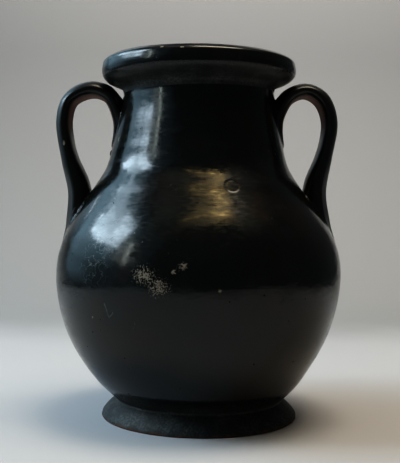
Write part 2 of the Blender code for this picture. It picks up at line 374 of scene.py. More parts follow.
# How far a light spreads, and the sizes and distances of the nested panels of a soft one.
LIGHT_SPREAD = math.radians(110.0)
SOFT_SIZES = (0.55, 0.70, 0.85, 1.0)
SOFT_STEP = 0.01

# What the lights face, and the azimuth and elevation in degrees of those above it.
JAR_MIDDLE = Vector((0.0, 0.0, 0.08))
STRAIGHT_UP = (0, 90)

# How the edge of a light looks in a reflection.
SHARP = "sharp"
SOFT = "soft"
SOFT_OVAL = "soft oval"

# Lights: name, edge, azimuth and elevation in degrees, distance, width, height, colour and radiance.
LIGHTS = (
    ("window", SHARP, -101, 30, 1.1, 0.46, 0.15, COOL, 8.2),
    ("window_foot", SHARP, -96.5, 25.6, 1.1, 0.26, 0.04, COOL, 6.0),
    ("window_middle", SHARP, -98, 37, 1.1, 0.38, 0.12, COOL, 5.4),
    ("window_top", SHARP, -96, 43, 1.1, 0.26, 0.11, COOL, 3.2),
    ("window_right_pane", SHARP, -79, 36.2, 1.1, 0.25, 0.43, COOL, 9.6),
    ("window_thin_pane", SHARP, -59.5, 22.5, 1.1, 0.06, 0.42, PALE, 5.4),
    ("window_far_pane", SHARP, -67, 27, 1.12, 0.18, 0.50, PALE, 0.9),
    ("window_glow", SOFT, -104, 33, 1.2, 1.75, 1.05, BLUE, 1.5),
    ("left_flank", SOFT, -142, 30, 0.80, 0.80, 0.60, BLUE, 0.5),
    ("left_wall", SHARP, -85, 25, 1.35, 2.40, 1.70, BLUE, 0.28),
    ("low_left", SOFT, -115, 6, 1.3, 1.20, 0.55, BLUE, 0.5),
    ("door", SHARP, -135, 15, 1.1, 0.05, 0.40, COOL, 6.0),
    ("lamp", SOFT_OVAL, 36, 64.2, 1.0, 0.34, 0.04, WARM, 10.5),
    ("lamp_glow", SOFT_OVAL, 14, 65.2, 1.06, 0.84, 0.06, WARM, 3.6),
)

# Lights above the jar: distance, width, height, colour and radiance, and the place of each.
CEILING_PANEL = (1.1, 1.8, 1.3, CEILING, 0.5)
CEILING_PLACE = (0.15, 0.07)
OVERHEAD_PANEL = (1.16, 0.60, 0.46, CEILING, 8.4)
OVERHEAD_PLACE = (0.24, -0.03)
BACKDROP_PANEL = (1.1, 0.9, 0.2, BACKDROP_LIGHT, 7.2)
BACKDROP_PLACE = (0.05, 0.36, 0.76)
BACKDROP_AWAY = Vector((0.0, -0.38, 0.34))


def between(start, end, t, at_start, at_end):
    """The value at t on the straight line from start, at at_start, to end, at at_end."""
    return start * (at_end - t) / (at_end - at_start) + end * (t - at_start) / (at_end - at_start)


def smooth_line(stations, count):
    """Evenly spaced points on a centripetal Catmull-Rom curve through the stations."""
    stations = np.asarray(stations, float)
    ends = (2 * stations[0] - stations[1], 2 * stations[-1] - stations[-2])
    padded = np.vstack([ends[0], stations, ends[1]])
    steps = np.sqrt(np.linalg.norm(np.diff(padded, axis=0), axis=1))
    knots = np.concatenate([[0.0], np.cumsum(steps)])
    curve = []
    for i in range(1, len(padded) - 2):
        near = padded[i - 1 : i + 3]
        times = knots[i - 1 : i + 3]
        for t in np.linspace(times[1], times[2], STATION_STEPS, endpoint=False):
            lines = [between(near[j], near[j + 1], t, times[j], times[j + 1]) for j in range(3)]
            bends = [between(lines[j], lines[j + 1], t, times[j], times[j + 2]) for j in range(2)]
            curve.append(between(bends[0], bends[1], t, times[1], times[2]))
    curve = np.array(curve + [stations[-1]])
    along = lengths_along(curve)
    wanted = np.linspace(0.0, along[-1], count)
    return np.column_stack([np.interp(wanted, along, curve[:, axis]) for axis in range(2)])


def lengths_along(line):
    """Distance of each point of a line from its first point, measured along it."""
    return np.concatenate([[0.0], np.cumsum(np.linalg.norm(np.diff(line, axis=0), axis=1))])


def directions(line):
    """Unit direction of a line at each of its points."""
    slope = np.gradient(line, axis=0)
    return slope / np.linalg.norm(slope, axis=1)[:, None]


def underside_outline():
    """The recess under the foot, from its middle out to the inner edge of the resting face."""
    resting_inner = FOOT_RADIUS - FOOT_EDGE - RESTING_WIDTH
    recess = resting_inner - RECESS_TAPER
    flat = [(radius, RECESS_DEPTH) for radius in np.linspace(0.0, recess, FOOT_RINGS)]
    return flat + [(resting_inner, 0.0), (0.5 * (resting_inner + FOOT_RADIUS), 0.0)]


def foot_outline():
    """Up the outside of the foot, from the outer edge of its resting face to the waist."""
    points = [(FOOT_RADIUS - FOOT_EDGE, 0.0), (FOOT_RADIUS, FOOT_EDGE)]
    for t in np.linspace(0.0, 1.0, FOOT_RINGS):
        radius = WAIST_RADIUS + (FOOT_RADIUS - WAIST_RADIUS) * (1.0 - t**FOOT_FLARE)
        points.append((radius, FOOT_SIDE_HEIGHT + t * (FOOT_HEIGHT - FOOT_SIDE_HEIGHT)))
    return points


def body_outline(count):
    """Up the outside from the waist, over belly and shoulder, to the top of the neck."""
    stations = [
        (WAIST_RADIUS, FOOT_HEIGHT),
        (UNDERBELLY_RADIUS, UNDERBELLY_HEIGHT),
        (LOW_BELLY_RADIUS, LOW_BELLY_HEIGHT),
        (BELLY_RADIUS, BELLY_HEIGHT),
        (HIGH_BELLY_RADIUS, HIGH_BELLY_HEIGHT),
        (SHOULDER_RADIUS, SHOULDER_HEIGHT),
        (NECK_BASE_RADIUS, NECK_BASE_HEIGHT),
        (LOW_NECK_RADIUS, LOW_NECK_HEIGHT),
        (MIDDLE_NECK_RADIUS, LOW_NECK_HEIGHT + MIDDLE_NECK_RISE),
        (HIGH_NECK_RADIUS, LOW_NECK_HEIGHT + HIGH_NECK_RISE),
        (NECK_RADIUS, NECK_HEIGHT),
    ]
    return smooth_line(stations, count)


def lip_outline():
    """Out under the lip, round its widest line and up to its crown."""
    stations = [
        (NECK_RADIUS, NECK_HEIGHT),
        (LIP_CORNER_RADIUS, CROWN_HEIGHT - LIP_CORNER_DROP),
        (LIP_UNDERSIDE_RADIUS, CROWN_HEIGHT - LIP_UNDERSIDE_DROP),
        (LIP_ROLL_RADIUS, CROWN_HEIGHT - LIP_ROLL_DROP),
        (LIP_RADIUS, CROWN_HEIGHT - LIP_WIDEST_DROP),
        (LIP_FACE_RADIUS, CROWN_HEIGHT - LIP_FACE_DROP),
        (LIP_SHOULDER_RADIUS, CROWN_HEIGHT - LIP_SHOULDER_DROP),
        (LIP_CROWN_RADIUS, CROWN_HEIGHT),
    ]
    return smooth_line(stations, LIP_RINGS)


def inner_lip_outline():
    """From the crown down the inner slope of the lip into the neck."""
    stations = [
        (LIP_CROWN_RADIUS, CROWN_HEIGHT),
        (INNER_LIP_RADIUS, CROWN_HEIGHT - INNER_LIP_DROP),
        (THROAT_RADIUS, CROWN_HEIGHT - THROAT_DROP),
        (NECK_RADIUS - NECK_WALL, NECK_HEIGHT),
    ]
    return smooth_line(stations, INNER_LIP_RINGS)


def inside_wall(depth):
    """From the middle of the floor out and up to the neck, at a depth in the wall.

    A depth of 0 is the wall's outside, and 1 is its inside.
    """
    outline = body_outline(INNER_RINGS)
    slope = directions(outline)
    wall = np.interp(outline[:, 1], [SHOULDER_HEIGHT, NECK_BASE_HEIGHT], [BELLY_WALL, NECK_WALL])
    moved = outline + np.column_stack([-slope[:, 1], slope[:, 0]]) * (wall * depth)[:, None]
    floor = FLOOR_HEIGHT - (1.0 - depth) * 0.5 * FLOOR_THICKNESS
    side = moved[(moved[:, 1] > floor + FLOOR_CORNER) & (moved[:, 1] < NECK_HEIGHT - 0.5 * NECK_WALL)]
    corner = (side[0][0] - FLOOR_CORNER, floor)
    return np.vstack([[(0.0, floor), corner], side])


def jar_outline():
    """The whole wall in section, from the middle of the underside round to the middle of the floor.

    With it comes how dull and how bare of gloss each of its points is, from 0 to 1.
    """
    underside = np.array(underside_outline())
    foot = np.array(foot_outline())
    body = body_outline(BODY_RINGS)[1:]
    lip = lip_outline()[1:]
    inner_lip = inner_lip_outline()[1:]
    inside = inside_wall(1.0)[::-1]
    above_waist = (body[:, 1] - FOOT_HEIGHT) / DULL_ABOVE_FOOT
    under_lip = (lip[:, 1] - NECK_HEIGHT) / (LIP_HEIGHT - LIP_UNDERSIDE_DROP)
    in_throat = (CROWN_HEIGHT - inner_lip[:, 1]) / THROAT_DROP
    outline = np.vstack([underside, foot, body, lip, inner_lip, inside])
    on_crown = RIM_WEAR * np.clip(1.0 - (CROWN_HEIGHT - lip[:, 1]) / LIP_SHOULDER_DROP, 0.0, 1.0)
    dull = [
        np.ones(len(underside) + len(foot)),
        1.0 - above_waist,
        UNDER_LIP_DULLNESS - under_lip,
        in_throat,
        np.ones(len(inside)),
    ]
    bare = [
        underside[:, 1] <= 0.0,
        1.0 - foot[:, 1] / BARE_EDGE,
        np.zeros(len(body)),
        on_crown,
        np.zeros(len(inner_lip) + len(inside)),
    ]
    marks = {"dull": dull, "bare": bare}
    return outline, {name: np.clip(np.concatenate(shares), 0.0, 1.0) for name, shares in marks.items()}


def core_outline():
    """A plug that fills the jar up to the middle of its wall and stands out of its mouth."""
    top = CROWN_HEIGHT + LIP_HEIGHT
    return np.vstack([inside_wall(0.5), [(NECK_RADIUS - 0.5 * NECK_WALL, top), (0.0, top)]])


def radius_at(height):
    """Outer radius of the body at a height."""
    outline = body_outline(OUTLINE_POINTS)
    return float(np.interp(height, outline[:, 1], outline[:, 0]))


def bow_outline():
    """Sideways shift of the body's axis at each height, from the waist to the top of the neck."""
    stations = [
        (0.0, FOOT_HEIGHT),
        (LOW_BELLY_BOW, LOW_BELLY_HEIGHT),
        (HIGH_BELLY_BOW, HIGH_BELLY_HEIGHT),
        (SHOULDER_BOW, SHOULDER_HEIGHT),
        (0.0, NECK_HEIGHT),
    ]
    return smooth_line(stations, OUTLINE_POINTS)


def ease(t):
    """A smooth step from 0 to 1 as t goes from 0 to 1."""
    t = min(max(t, 0.0), 1.0)
    return t * t * (3.0 - 2.0 * t)


def settled(spot, bow):
    """The place of a point of the upright, even shape once the jar leans and bows on its level foot."""
    x, y, z = spot
    above = z - FOOT_HEIGHT
    if above > 0.0:
        angle = LEAN_ANGLE * ease(above / LEAN_LENGTH)
        # The lip is thinner towards +X: there its underside is higher and its crown lower.
        in_lip = max(-1.0, (z - NECK_HEIGHT) / LIP_HEIGHT)
        thinner = 1.0 - 2.0 * in_lip if in_lip > 0.0 else 1.0 + in_lip
        shift = float(np.interp(z, bow[:, 1], bow[:, 0]))
        above += thinner * LIP_UNEVENNESS * x / LIP_RADIUS
        z = FOOT_HEIGHT + x * math.sin(angle) + above * math.cos(angle)
        x = x * math.cos(angle) - above * math.sin(angle) - shift
    return x + FOOT_CENTRE_X, y, z


def thrown(spot):
    """A point of the turned shape, moved as the thrower's hands and long use left it."""
    x, y, z = spot
    radius = math.hypot(x, y)
    if radius < 0.5 * WAIST_RADIUS:
        return spot
    sway = SWAY * noise.noise(Vector((x, y, z)) / SWAY_LENGTH)
    ridge = RIDGE_HEIGHT * noise.noise(Vector((x / SWAY_LENGTH, y / SWAY_LENGTH, z / RIDGE_PITCH)))
    above_foot = ease((z - FOOT_HEIGHT) / LEAN_LENGTH)
    chipped = noise.noise(Vector((x, y, z)) / FOOT_WEAR_LENGTH) - FOOT_WEAR_LEVEL
    worn = FOOT_WEAR * (1.0 - ease(z / FOOT_HEIGHT)) * chipped
    out = (sway + ridge) * above_foot + (worn if z > 0.0 else 0.0)
    return x * (1.0 + out / radius), y * (1.0 + out / radius), z


def finished(name, mesh):
    """Settles a closed shape, makes an object of it and shades it smooth."""
    bow = bow_outline()
    for vertex in mesh.verts:
        vertex.co = settled(vertex.co, bow)
    bmesh.ops.recalc_face_normals(mesh, faces=mesh.faces)
    for face in mesh.faces:
        face.smooth = True
    data = bpy.data.meshes.new(name)
    mesh.to_mesh(data)
    mesh.free()
    made = bpy.data.objects.new(name, data)
    bpy.context.scene.collection.objects.link(made)
    return made


def marked_mesh():
    """An empty mesh, with a layer for each mark of its points."""
    mesh = bmesh.new()
    for name in MARKS:
        mesh.verts.layers.float.new(name)
    return mesh


def turned(name, outline, marks, uneven):
    """A solid of revolution of an outline that starts and ends on the axis, with the marks of its points."""
    mesh = marked_mesh()
    verts = [mesh.verts.new((radius, 0.0, height)) for radius, height in outline]
    for layer_name, values in marks.items():
        layer = mesh.verts.layers.float[layer_name]
        for vert, value in zip(verts, values):
            vert[layer] = float(value)
    edges = [mesh.edges.new(pair) for pair in zip(verts, verts[1:])]
    around = {"cent": (0.0, 0.0, 0.0), "axis": (0.0, 0.0, 1.0), "angle": 2.0 * math.pi, "steps": SEGMENTS}
    bmesh.ops.spin(mesh, geom=verts + edges, use_merge=True, **around)
    bmesh.ops.remove_doubles(mesh, verts=mesh.verts, dist=MERGE_DISTANCE)
    if uneven:
        for vertex in mesh.verts:
            vertex.co = thrown(vertex.co)
    return finished(name, mesh)


def handle_path(side):
    """Centre line of the strap, from inside the neck's wall to inside the shoulder's, as reach and height."""
    half = 0.5 * STRAP_THICKNESS
    root = NECK_HEIGHT - NECK_ROOT_DROP
    neck = radius_at(root)
    arch = root + ARCH_RISE - side * ARCH_UNEVENNESS
    root_end = root - NECK_ROOT_LENGTH
    root_middle = 0.5 * (root + root_end)
    ankle = SHOULDER_HEIGHT - ANKLE_DROP
    ankle_reach = radius_at(ankle) + ANKLE_STAND_OFF
    heel = SHOULDER_HEIGHT - HEEL_DROP
    shoulder_root = SHOULDER_HEIGHT - SHOULDER_ROOT_DROP
    stations = [
        (radius_at(root_end) - NECK_ROOT_END_SINK * half, root_end),
        (radius_at(root_middle) - NECK_ROOT_MIDDLE_SINK * half, root_middle),
        (neck, root),
        (neck + SPRING_STAND_OFF, arch - SPRING_DROP),
        (neck + ARCH_STAND_OFF, arch),
        (neck + BEND_STAND_OFF - side * BEND_UNEVENNESS, arch - BEND_DROP),
        (neck + OUTER_STAND_OFF - side * OUTER_UNEVENNESS, arch - OUTER_DROP),
        (ankle_reach + LEG_OVERHANG - side * LEG_UNEVENNESS, ankle + LEG_RISE),
        (ankle_reach, ankle),
        (radius_at(heel), heel),
        (radius_at(shoulder_root) - SHOULDER_ROOT_SINK * half, shoulder_root),
    ]
    return smooth_line(stations, STRAP_RINGS)


def strap_section(width, thickness, swell, outer_squareness):
    """Points round the strap's flattened oval, as inwards and across, with its inner half thickened by swell.

    With each comes how much it lies on the inner face, from 0 to 1.
    """
    points = []
    for step in range(STRAP_SEGMENTS):
        angle = 2.0 * math.pi * (step + 0.5) / STRAP_SEGMENTS
        inwards, across = math.cos(angle), math.sin(angle)
        squareness = INNER_SQUARENESS if inwards > 0.0 else outer_squareness
        power = abs(inwards) ** squareness + abs(across) ** squareness
        size = power ** (-1.0 / squareness)
        depth = 0.5 * thickness + (swell if inwards > 0.0 else 0.0)
        on_inner_face = ease((size * inwards - INNER_FACE_START) / (INNER_FACE_END - INNER_FACE_START))
        points.append((depth * size * inwards, 0.5 * width * size * across, on_inner_face))
    return points


def handle(name, side):
    """A closed strap on the +X side for side 1, and on the -X side for side -1."""
    path = handle_path(side)
    along = lengths_along(path)
    from_end = np.minimum(along, along[-1] - along)
    crotch = SHOULDER_HEIGHT - ANKLE_DROP
    mesh = marked_mesh()
    strap_mark = mesh.verts.layers.float["strap"]
    inner_mark = mesh.verts.layers.float["inner_face"]
    rings = []
    for (reach, height), (out, up), distance in zip(path, directions(path), from_end):
        taper = 1.0 - ROOT_TAPER * max(0.0, 1.0 - distance / ROOT_TAPER_LENGTH) ** 2
        swell = CROTCH_SWELL * (1.0 - ease((height - crotch) / CROTCH_LENGTH))
        reddened = ease((height - REDDENED_FROM) / REDDENED_LENGTH)
        up_leg = ease((height - crotch) / LEG_EDGE_LENGTH)
        outer_squareness = LEG_SQUARENESS + (OUTER_SQUARENESS - LEG_SQUARENESS) * up_leg
        section = strap_section(STRAP_WIDTH * taper, STRAP_THICKNESS, swell, outer_squareness)
        verts = []
        for inwards, across, on_inner_face in section:
            verts.append(mesh.verts.new((side * (reach + up * inwards), across, height - out * inwards)))
            verts[-1][strap_mark] = 1.0
            verts[-1][inner_mark] = on_inner_face * reddened
        rings.append([mesh.edges.new(pair) for pair in zip(verts, verts[1:] + verts[:1])])
    for low, high in zip(rings, rings[1:]):
        bmesh.ops.bridge_loops(mesh, edges=low + high)
    bmesh.ops.holes_fill(mesh, edges=rings[0] + rings[-1])
    return finished(name, mesh)


def tree_of(obj):
    """A search tree of an object's faces."""
    mesh = bmesh.new()
    mesh.from_mesh(obj.data)
    tree = BVHTree.FromBMesh(mesh)
    mesh.free()
    return tree


def swelled(obj, tree):
    """Where each point of an object goes as its surface swells into a fillet near the surface in the tree."""
    moves = {}
    for vertex in obj.data.vertices:
        near, normal, _, distance = tree.find_nearest(vertex.co, 2.0 * FILLET)
        if near is None:
            continue
        outside = (vertex.co - near).dot(normal) > 0.0
        gap = distance if outside else 0.0
        if gap < FILLET:
            swell = FILLET_SWELL * FILLET * (1.0 - gap / FILLET) ** 2
            moves[vertex.index] = vertex.co + vertex.normal * swell
    return moves


def luted(jar, strap):
    """Swells the jar and a strap towards each other where they meet, as wet clay smoothed into the corner."""
    moves = [(jar, swelled(jar, tree_of(strap))), (strap, swelled(strap, tree_of(jar)))]
    for obj, places in moves:
        for index, place in places.items():
            obj.data.vertices[index].co = place
        obj.data.update()


def boolean(target, other, operation):
    """Joins another object to the target, or takes it away, for good."""
    modifier = target.modifiers.new(other.name, "BOOLEAN")
    modifier.operation = operation
    modifier.object = other
    modifier.solver = "EXACT"
    graph = bpy.context.evaluated_depsgraph_get()
    result = bpy.data.meshes.new_from_object(target.evaluated_get(graph))
    target.modifiers.clear()
    target.data = result


def marked_points(obj):
    """The places of an object's points, with the marks of each."""
    layers = [obj.data.attributes[name].data for name in MARKS]
    points = obj.data.vertices
    return [(point.co.copy(), [layer[point.index].value for layer in layers]) for point in points]


def marked_again(obj, sources):
    """Gives each point of a joined object the marks of the nearest source point, as a join loses them."""
    tree = KDTree(len(sources))
    for index, (spot, _) in enumerate(sources):
        tree.insert(spot, index)
    tree.balance()
    nearest = [sources[tree.find(vertex.co)[1]][1] for vertex in obj.data.vertices]
    for number, name in enumerate(MARKS):
        if name in obj.data.attributes:
            obj.data.attributes.remove(obj.data.attributes[name])
        layer = obj.data.attributes.new(name, "FLOAT", "POINT")
        layer.data.foreach_set("value", [marks[number] for marks in nearest])


def pelike():
    """The fine jar with both handles luted on."""
    outline, marks = jar_outline()
    jar = turned("fired_pelike", outline, marks, uneven=True)
    core = turned("core", core_outline(), {}, uneven=False)
    straps = [handle(name, side) for name, side in (("left_handle", -1), ("right_handle", 1))]
    for strap in straps:
        luted(jar, strap)
    sources = [point for part in (jar, *straps) for point in marked_points(part)]
    for strap in straps:
        boolean(strap, core, "DIFFERENCE")
        boolean(jar, strap, "UNION")
    for helper in (core, *straps):
        bpy.data.objects.remove(helper, do_unlink=True)
    marked_again(jar, sources)
    return jar


def add_node(tree, kind, values=None, **settings):
    """Adds a shader node. A value that is a socket is linked, and any other is set."""
    made = tree.nodes.new(kind)
    for name, value in settings.items():
        setattr(made, name, value)
    for name, value in (values or {}).items():
        if isinstance(value, bpy.types.NodeSocket):
            tree.links.new(value, made.inputs[name])
        else:
            made.inputs[name].default_value = value
    return made


def combined(tree, operation, *values):
    """The result of a Math node on sockets or numbers."""
    return add_node(tree, "ShaderNodeMath", dict(enumerate(values)), operation=operation).outputs[0]


def vector(tree, operation, *values):
    """The outputs of a Vector Math node on sockets or vectors."""
    return add_node(tree, "ShaderNodeVectorMath", dict(enumerate(values)), operation=operation).outputs


def scaled(tree, value, size):
    """A vector socket made longer by a size."""
    return add_node(tree, "ShaderNodeVectorMath", {0: value, "Scale": size}, operation="SCALE").outputs[0]


def stepped(tree, value, low, high, at_low=0.0, at_high=1.0):
    """A smooth step from at_low to at_high as the value goes from low to high."""
    values = {"Value": value, "From Min": low, "From Max": high, "To Min": at_low, "To Max": at_high}
    return add_node(tree, "ShaderNodeMapRange", values, interpolation_type="SMOOTHSTEP").outputs[0]


def mark(tree, name):
    """A mark of the mesh's points."""
    return add_node(tree, "ShaderNodeAttribute", attribute_name=name).outputs["Fac"]


def place(tree):
    """The place on the jar, in metres."""
    return add_node(tree, "ShaderNodeTexCoord").outputs["Object"]


def grain(tree, size, detail=2.0, flatness=1.0, seed=0.0):
    """Noise from 0 to 1 of about this size. It is longer than it is high by its flatness."""
    scale = (1.0 / (size * flatness), 1.0 / (size * flatness), 1.0 / size)
    moved = {"Vector": place(tree), "Location": (seed,) * 3, "Scale": scale}
    spots = add_node(tree, "ShaderNodeMapping", moved).outputs[0]
    noisy = {"Vector": spots, "Scale": 1.0, "Detail": detail}
    return add_node(tree, "ShaderNodeTexNoise", noisy).outputs["Fac"]


def pits(tree, spacing, radius, share):
    """Round pits a spacing apart, of which a share is left."""
    spots = add_node(tree, "ShaderNodeMapping", {"Vector": place(tree), "Scale": (1.0 / spacing,) * 3})
    cells = add_node(tree, "ShaderNodeTexVoronoi", {"Vector": spots.outputs[0], "Scale": 1.0})
    near = stepped(tree, cells.outputs["Distance"], 0.5 * radius / spacing, radius / spacing, 1.0, 0.0)
    kept = add_node(tree, "ShaderNodeSeparateColor", {"Color": cells.outputs["Color"]}).outputs[0]
    return combined(tree, "MULTIPLY", near, combined(tree, "LESS_THAN", kept, share))


def patch(tree, middle, reach):
    """An oval area round a middle that fades out at its reach."""
    offset = vector(tree, "SUBTRACT", place(tree), middle)[0]
    share = vector(tree, "DIVIDE", offset, reach)[0]
    return stepped(tree, vector(tree, "LENGTH", share)["Value"], 0.0, 1.0, 1.0, 0.0)


def stroke_group():
    """A node group that marks a narrow line between two places."""
    group = bpy.data.node_groups.new("stroke", "ShaderNodeTree")
    for name in ("Start", "End"):
        group.interface.new_socket(name, in_out="INPUT", socket_type="NodeSocketVector")
    group.interface.new_socket("Width", in_out="INPUT", socket_type="NodeSocketFloat")
    group.interface.new_socket("Mark", in_out="OUTPUT", socket_type="NodeSocketFloat")
    given = group.nodes.new("NodeGroupInput")
    result = group.nodes.new("NodeGroupOutput")

    noisy = {"Vector": place(group), "Scale": 1.0 / STROKE_WANDER_LENGTH}
    wander = add_node(group, "ShaderNodeTexNoise", noisy).outputs["Color"]
    bend = vector(group, "SUBTRACT", wander, (0.5, 0.5, 0.5))[0]
    spot = vector(group, "ADD", place(group), scaled(group, bend, STROKE_WANDER))[0]
    from_start = vector(group, "SUBTRACT", spot, given.outputs["Start"])[0]
    line = vector(group, "SUBTRACT", given.outputs["End"], given.outputs["Start"])[0]
    reached = vector(group, "DOT_PRODUCT", from_start, line)["Value"]
    whole = vector(group, "DOT_PRODUCT", line, line)["Value"]
    held = add_node(group, "ShaderNodeClamp", {"Value": combined(group, "DIVIDE", reached, whole)}).outputs[0]
    to_line = vector(group, "SUBTRACT", from_start, scaled(group, line, held))[0]
    share = combined(group, "DIVIDE", vector(group, "LENGTH", to_line)["Value"], given.outputs["Width"])
    group.links.new(stepped(group, share, *STROKE_EDGE, 1.0, 0.0), result.inputs["Mark"])
    return group


def strokes(tree, group, lines, width):
    """One mark for many lines, each with its start and end."""
    total = None
    for start, end in lines:
        line = add_node(tree, "ShaderNodeGroup", node_tree=group)
        line.inputs["Start"].default_value = start
        line.inputs["End"].default_value = end
        line.inputs["Width"].default_value = width
        drawn = line.outputs["Mark"]
        total = drawn if total is None else combined(tree, "MAXIMUM", total, drawn)
    return total


def laid(tree, base, colour, cover):
    """The base colour with another laid over it where the cover is 1."""
    # Inputs 6 and 7 of this node are its colours, and output 2 is the mixed colour.
    made = add_node(tree, "ShaderNodeMix", {0: cover}, data_type="RGBA")
    for socket, value in ((made.inputs[6], base), (made.inputs[7], colour)):
        if isinstance(value, bpy.types.NodeSocket):
            tree.links.new(value, socket)
        else:
            socket.default_value = (*value, 1.0)
    return made.outputs[2]


def moved_to(tree, base, value, cover):
    """A number that goes from its base to another value where the cover is 1."""
    # Inputs 2 and 3 of this node are its numbers.
    made = add_node(tree, "ShaderNodeMix", {0: cover, 2: base, 3: value}, data_type="FLOAT")
    return made.outputs[0]


def salt_cover(tree, fine):
    """Where salt lies: flecks in its patches, and single spots."""
    flecks = grain(tree, FLECK_GRAIN, detail=4.0, seed=9.0)
    salt = None
    for middle, reach in SALT_PATCHES:
        area = patch(tree, middle, reach)
        lifted = combined(tree, "ADD", flecks, combined(tree, "MULTIPLY", area, FLECK_LIFT))
        within = stepped(tree, area, *PATCH_EDGE)
        spots = combined(tree, "MULTIPLY", stepped(tree, lifted, *FLECK_EDGE), within)
        salt = spots if salt is None else combined(tree, "MAXIMUM", salt, spots)
    for middle, reach in SALT_SPOTS:
        spot = combined(tree, "ADD", fine, patch(tree, middle, reach))
        salt = combined(tree, "MAXIMUM", salt, stepped(tree, spot, *SPOT_EDGE))
    return salt


def scratch_and_highlight_cover(tree):
    """Where scratches and painted highlight lines show: single strokes, some of them a painted highlight
    along a crease, and a fine web of scratches in one area.
    """
    lines = strokes(tree, stroke_group(), SCRATCHES_AND_HIGHLIGHT_LINES, STROKE_WIDTH)
    lines = combined(tree, "MULTIPLY", lines, STROKE_COVER)
    off_middle = combined(tree, "SUBTRACT", grain(tree, WEB_GRAIN, detail=3.0, seed=4.0), 0.5)
    web = stepped(tree, combined(tree, "ABSOLUTE", off_middle), *WEB_EDGE, 1.0, 0.0)
    return combined(tree, "MAXIMUM", lines, combined(tree, "MULTIPLY", patch(tree, *SCRATCH_FIELD), web))


def pit_cover(tree):
    """Where the gloss is pitted: small pits all over, and larger ones in their places."""
    pitted = pits(tree, PIT_SPACING, SMALL_PIT_RADIUS, SMALL_PIT_SHARE)
    for middle in PITS:
        pit = stepped(tree, patch(tree, middle, (PIT_RADIUS,) * 3), *PIT_EDGE)
        pitted = combined(tree, "MAXIMUM", pitted, pit)
    return pitted


def relief(tree, fine, strap, pitted, salt):
    """The height of the surface: its grain, dents, wheel marks, pits and salt, and one round spall."""
    dents = grain(tree, DENT_GRAIN, detail=1.0, flatness=DENT_FLATNESS, seed=10.0)
    wheel = grain(tree, WHEEL_GRAIN, detail=2.0, flatness=WHEEL_FLATNESS, seed=3.0)
    wheel = combined(tree, "MULTIPLY", wheel, combined(tree, "SUBTRACT", 1.0, strap))
    height = combined(tree, "MULTIPLY", fine, FINE_RELIEF)
    raised = ((dents, DENT_RELIEF), (wheel, WHEEL_RELIEF), (pitted, PIT_RELIEF), (salt, SALT_RELIEF))
    for pattern, share in raised:
        height = combined(tree, "ADD", height, combined(tree, "MULTIPLY", pattern, share))
    spall = patch(tree, SPALL_MIDDLE, (SPALL_RADIUS,) * 3)
    return combined(tree, "ADD", height, stepped(tree, spall, *SPALL_EDGE, 0.0, SPALL_RELIEF))


def black_gloss():
    """Fired black gloss, worn and pitted, with its clay bare at the foot and salt on its front."""
    material = bpy.data.materials.new("black_gloss")
    material.use_nodes = True
    tree = material.node_tree
    shader = tree.nodes["Principled BSDF"]
    strap = mark(tree, "strap")
    dull = mark(tree, "dull")
    broad = grain(tree, BROAD_GRAIN, seed=1.0)
    brown = grain(tree, BROWN_GRAIN, seed=6.0)
    fine = grain(tree, FINE_GRAIN, detail=3.0, seed=2.0)

    salt = salt_cover(tree, fine)
    scratches_and_highlights = scratch_and_highlight_cover(tree)
    pitted = pit_cover(tree)
    lip_wear = combined(tree, "MAXIMUM", *(patch(tree, middle, reach) for middle, reach in LIP_WEAR))
    lip_dust = stepped(tree, combined(tree, "ADD", fine, lip_wear), *LIP_WEAR_EDGE)
    clay_grain = grain(tree, CLAY_GRAIN, detail=4.0, seed=5.0)
    clay = stepped(tree, combined(tree, "ADD", mark(tree, "bare"), clay_grain), *CLAY_EDGE)
    reddened = stepped(tree, broad, *MISFIRED_EDGE, *MISFIRED_COVER)
    misfired = combined(tree, "MULTIPLY", mark(tree, "inner_face"), reddened)
    dust = combined(tree, "MULTIPLY", dull, stepped(tree, fine, *DUST_EDGE, *DUST_COVER))
    dust_grain = grain(tree, DUST_GRAIN, detail=5.0, seed=12.0)
    dust = combined(tree, "MULTIPLY", dust, stepped(tree, dust_grain, *DUST_PATCH_EDGE, *DUST_PATCH_COVER))

    colour = GLOSS
    for over, cover in (
        (GLOSS_GREEN, stepped(tree, broad, *GREEN_EDGE)),
        (GLOSS_BROWN, stepped(tree, brown, *BROWN_EDGE)),
        (DUST, dust),
        (MISFIRED, misfired),
        (DUST, lip_dust),
        # Scratches, and painted highlight lines along creases.
        (SCRATCH_AND_HIGHLIGHT_PALE, scratches_and_highlights),
        (SALT, salt),
        (CLAY, clay),
        (PIT, pitted),
    ):
        colour = laid(tree, colour, over, cover)
    tree.links.new(colour, shader.inputs["Base Color"])

    sheen = grain(tree, SHEEN_GRAIN, detail=4.0, flatness=SHEEN_FLATNESS, seed=7.0)
    smudges = grain(tree, SMUDGE_GRAIN, detail=5.0, flatness=SMUDGE_FLATNESS, seed=11.0)
    worn = combined(tree, "MAXIMUM", salt, clay)
    for cover in (pitted, lip_dust):
        worn = combined(tree, "MAXIMUM", worn, cover)
    rough = stepped(tree, sheen, *SHEEN_EDGE, *CLEAN_ROUGHNESS)
    for roughness, cover in (
        (SMUDGED_ROUGHNESS, stepped(tree, smudges, *SMUDGE_EDGE, *SMUDGE_COVER)),
        (STRAP_ROUGHNESS, strap),
        (DULL_ROUGHNESS, dull),
        (MISFIRED_ROUGHNESS, misfired),
        (WORN_ROUGHNESS, worn),
    ):
        rough = moved_to(tree, rough, roughness, cover)
    tree.links.new(rough, shader.inputs["Roughness"])
    shader.inputs["IOR"].default_value = GLOSS_IOR

    values = {"Height": relief(tree, fine, strap, pitted, salt), "Distance": BUMP_HEIGHT, "Strength": 1.0}
    tree.links.new(add_node(tree, "ShaderNodeBump", values).outputs[0], shader.inputs["Normal"])
    return material


